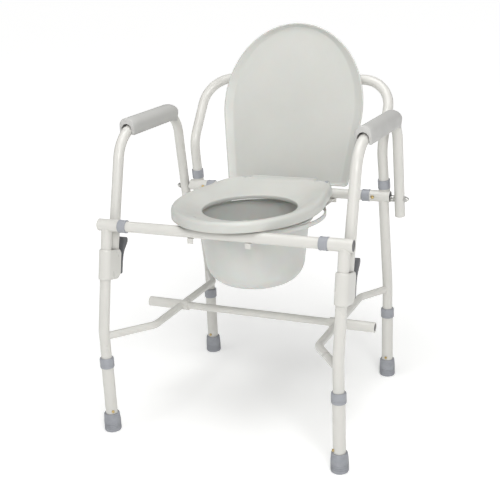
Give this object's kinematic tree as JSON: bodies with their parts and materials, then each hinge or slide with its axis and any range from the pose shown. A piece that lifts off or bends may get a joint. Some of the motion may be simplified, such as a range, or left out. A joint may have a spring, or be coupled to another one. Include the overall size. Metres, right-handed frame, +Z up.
{
  "type": "commode chair",
  "caption": "Steel commode chair with hinged oval seat and raised lid, lift-out pail, drop arms with pads, bent-tube backrest and height-adjustable legs.",
  "frame": {"origin": "on the floor, under the centre of the chair's overall length and width, legs at their lowest setting", "axes": "+Z up, -Y towards the front of the chair, +X to the left side of a person sitting in it; X = 0 is the plane of symmetry"},
  "size_m": [0.5826, 0.5492, 0.832],
  "materials": {
    "frame_enamel": "satin enamel",
    "leg_enamel": "satin enamel",
    "arm_enamel": "satin enamel",
    "collar_plastic": "fine moulded texture",
    "tip_rubber": "matt",
    "plug_plastic": "matt",
    "lever_plastic": "fine moulded texture",
    "pad_vinyl": "soft moulded grain",
    "seat_plastic": "semi-gloss",
    "lid_plastic": "semi-gloss",
    "pail_plastic": "semi-gloss",
    "bumper_rubber": "matt",
    "zinc_steel": "zinc plated",
    "brass": "bright"
  },
  "bodies": {
    "frame": {"front_leg_right": "frame_enamel", "front_leg_left": "frame_enamel", "rear_leg_right": "frame_enamel", "rear_leg_left": "frame_enamel", "front_sockets": "frame_enamel", "rear_sockets": "frame_enamel", "stretcher_right": "frame_enamel", "stretcher_left": "frame_enamel", "cross_sockets": "frame_enamel", "lock_housing_right": "frame_enamel", "lock_housing_left": "frame_enamel", "front_crossbar": "frame_enamel", "rear_crossbar": "frame_enamel", "lower_crossbar": "frame_enamel", "backrest_tube": "frame_enamel", "pail_holder": "frame_enamel", "bar_sleeves": "collar_plastic", "backrest_collars": "collar_plastic", "socket_plugs": "plug_plastic", "pivot_bolts": "zinc_steel", "pivot_spacers": "zinc_steel", "hinge_pins": "zinc_steel", "hinge_brackets": "collar_plastic"},
    "arm_right": {"arm_tube_right": "arm_enamel", "arm_pad_right": "pad_vinyl", "arm_end_plugs_right": "plug_plastic", "lever_bracket_right": "arm_enamel"},
    "lever_right": {"release_lever_right": "lever_plastic"},
    "arm_left": {"arm_tube_left": "arm_enamel", "arm_pad_left": "pad_vinyl", "arm_end_plugs_left": "plug_plastic", "lever_bracket_left": "arm_enamel"},
    "lever_left": {"release_lever_left": "lever_plastic"},
    "leg_front_right": {"lower_leg_front_right": "leg_enamel", "leg_tip_front_right": "tip_rubber", "leg_collar_front_right": "collar_plastic"},
    "button_leg_front_right": {"leg_button_front_right": "brass"},
    "leg_front_left": {"lower_leg_front_left": "leg_enamel", "leg_tip_front_left": "tip_rubber", "leg_collar_front_left": "collar_plastic"},
    "button_leg_front_left": {"leg_button_front_left": "brass"},
    "leg_rear_right": {"lower_leg_rear_right": "leg_enamel", "leg_tip_rear_right": "tip_rubber", "leg_collar_rear_right": "collar_plastic"},
    "button_leg_rear_right": {"leg_button_rear_right": "brass"},
    "leg_rear_left": {"lower_leg_rear_left": "leg_enamel", "leg_tip_rear_left": "tip_rubber", "leg_collar_rear_left": "collar_plastic"},
    "button_leg_rear_left": {"leg_button_rear_left": "brass"},
    "button_front_bar_right": {"front_bar_button_right": "brass"},
    "button_front_bar_left": {"front_bar_button_left": "brass"},
    "button_rear_bar_right": {"rear_bar_button_right": "brass"},
    "button_rear_bar_left": {"rear_bar_button_left": "brass"},
    "button_backrest_right": {"backrest_button_right": "brass"},
    "button_backrest_left": {"backrest_button_left": "brass"},
    "seat": {"seat": "seat_plastic", "seat_bumpers": "bumper_rubber"},
    "lid": {"lid": "lid_plastic"},
    "pail": {"pail": "pail_plastic"},
    "bail": {"bail": "pail_plastic"}
  },
  "joints": [
    {"name": "arm_right_drop", "type": "hinge", "parent": "frame", "child": "arm_right", "pos_m": [0.27, 0.1704, 0.451], "axis": [1, 0, 0], "range_deg": [0, 77]},
    {"name": "lever_right_squeeze", "type": "hinge", "parent": "arm_right", "child": "lever_right", "pos_m": [0.262, -0.18579, 0.35212], "axis": [1, 0, 0], "range_deg": [0, 6], "stiffness_Nm_per_rad": 0.6, "springref_deg": -8.59},
    {"name": "arm_left_drop", "type": "hinge", "parent": "frame", "child": "arm_left", "pos_m": [-0.27, 0.1704, 0.451], "axis": [1, 0, 0], "range_deg": [0, 77]},
    {"name": "lever_left_squeeze", "type": "hinge", "parent": "arm_left", "child": "lever_left", "pos_m": [-0.262, -0.18579, 0.35212], "axis": [1, 0, 0], "range_deg": [0, 6], "stiffness_Nm_per_rad": 0.6, "springref_deg": -8.59},
    {"name": "leg_front_right_height", "type": "slide", "parent": "frame", "child": "leg_front_right", "axis": [0, 0, -1], "range_m": [0, 0.1016]},
    {"name": "leg_front_right_button_press", "type": "slide", "parent": "leg_front_right", "child": "button_leg_front_right", "axis": [0.7193, 0.6947, 0], "range_m": [0, 0.003], "stiffness_N_per_m": 900, "springref_m": -0.002},
    {"name": "leg_front_left_height", "type": "slide", "parent": "frame", "child": "leg_front_left", "axis": [0, 0, -1], "range_m": [0, 0.1016]},
    {"name": "leg_front_left_button_press", "type": "slide", "parent": "leg_front_left", "child": "button_leg_front_left", "axis": [-0.7193, 0.6947, 0], "range_m": [0, 0.003], "stiffness_N_per_m": 900, "springref_m": -0.002},
    {"name": "leg_rear_right_height", "type": "slide", "parent": "frame", "child": "leg_rear_right", "axis": [0, 0, -1], "range_m": [0, 0.1016]},
    {"name": "leg_rear_right_button_press", "type": "slide", "parent": "leg_rear_right", "child": "button_leg_rear_right", "axis": [0, 1, 0], "range_m": [0, 0.003], "stiffness_N_per_m": 900, "springref_m": -0.002},
    {"name": "leg_rear_left_height", "type": "slide", "parent": "frame", "child": "leg_rear_left", "axis": [0, 0, -1], "range_m": [0, 0.1016]},
    {"name": "leg_rear_left_button_press", "type": "slide", "parent": "leg_rear_left", "child": "button_leg_rear_left", "axis": [0, 1, 0], "range_m": [0, 0.003], "stiffness_N_per_m": 900, "springref_m": -0.002},
    {"name": "front_bar_right_button_press", "type": "slide", "parent": "frame", "child": "button_front_bar_right", "axis": [0, -1, 0], "range_m": [0, 0.003], "stiffness_N_per_m": 900, "springref_m": -0.002},
    {"name": "front_bar_left_button_press", "type": "slide", "parent": "frame", "child": "button_front_bar_left", "axis": [0, -1, 0], "range_m": [0, 0.003], "stiffness_N_per_m": 900, "springref_m": -0.002},
    {"name": "rear_bar_right_button_press", "type": "slide", "parent": "frame", "child": "button_rear_bar_right", "axis": [0, 1, 0], "range_m": [0, 0.003], "stiffness_N_per_m": 900, "springref_m": -0.002},
    {"name": "rear_bar_left_button_press", "type": "slide", "parent": "frame", "child": "button_rear_bar_left", "axis": [0, 1, 0], "range_m": [0, 0.003], "stiffness_N_per_m": 900, "springref_m": -0.002},
    {"name": "backrest_right_button_press", "type": "slide", "parent": "frame", "child": "button_backrest_right", "axis": [0, -1, 0], "range_m": [0, 0.0024], "stiffness_N_per_m": 900, "springref_m": -0.002},
    {"name": "backrest_left_button_press", "type": "slide", "parent": "frame", "child": "button_backrest_left", "axis": [0, -1, 0], "range_m": [0, 0.0024], "stiffness_N_per_m": 900, "springref_m": -0.002},
    {"name": "seat_lift", "type": "hinge", "parent": "frame", "child": "seat", "pos_m": [0, 0.1539, 0.48], "axis": [-1, 0, 0], "range_deg": [0, 100]},
    {"name": "lid_swing", "type": "hinge", "parent": "frame", "child": "lid", "pos_m": [0, 0.1539, 0.48], "axis": [-1, 0, 0], "range_deg": [-105.5, 0]},
    {"name": "pail_lift", "type": "slide", "parent": "frame", "child": "pail", "axis": [0, 0, 1], "range_m": [0, 0.005]},
    {"name": "bail_swing", "type": "hinge", "parent": "pail", "child": "bail", "pos_m": [0, -0.0311, 0.4522], "axis": [0, -1, 0], "range_deg": [0, 4]}
  ]
}
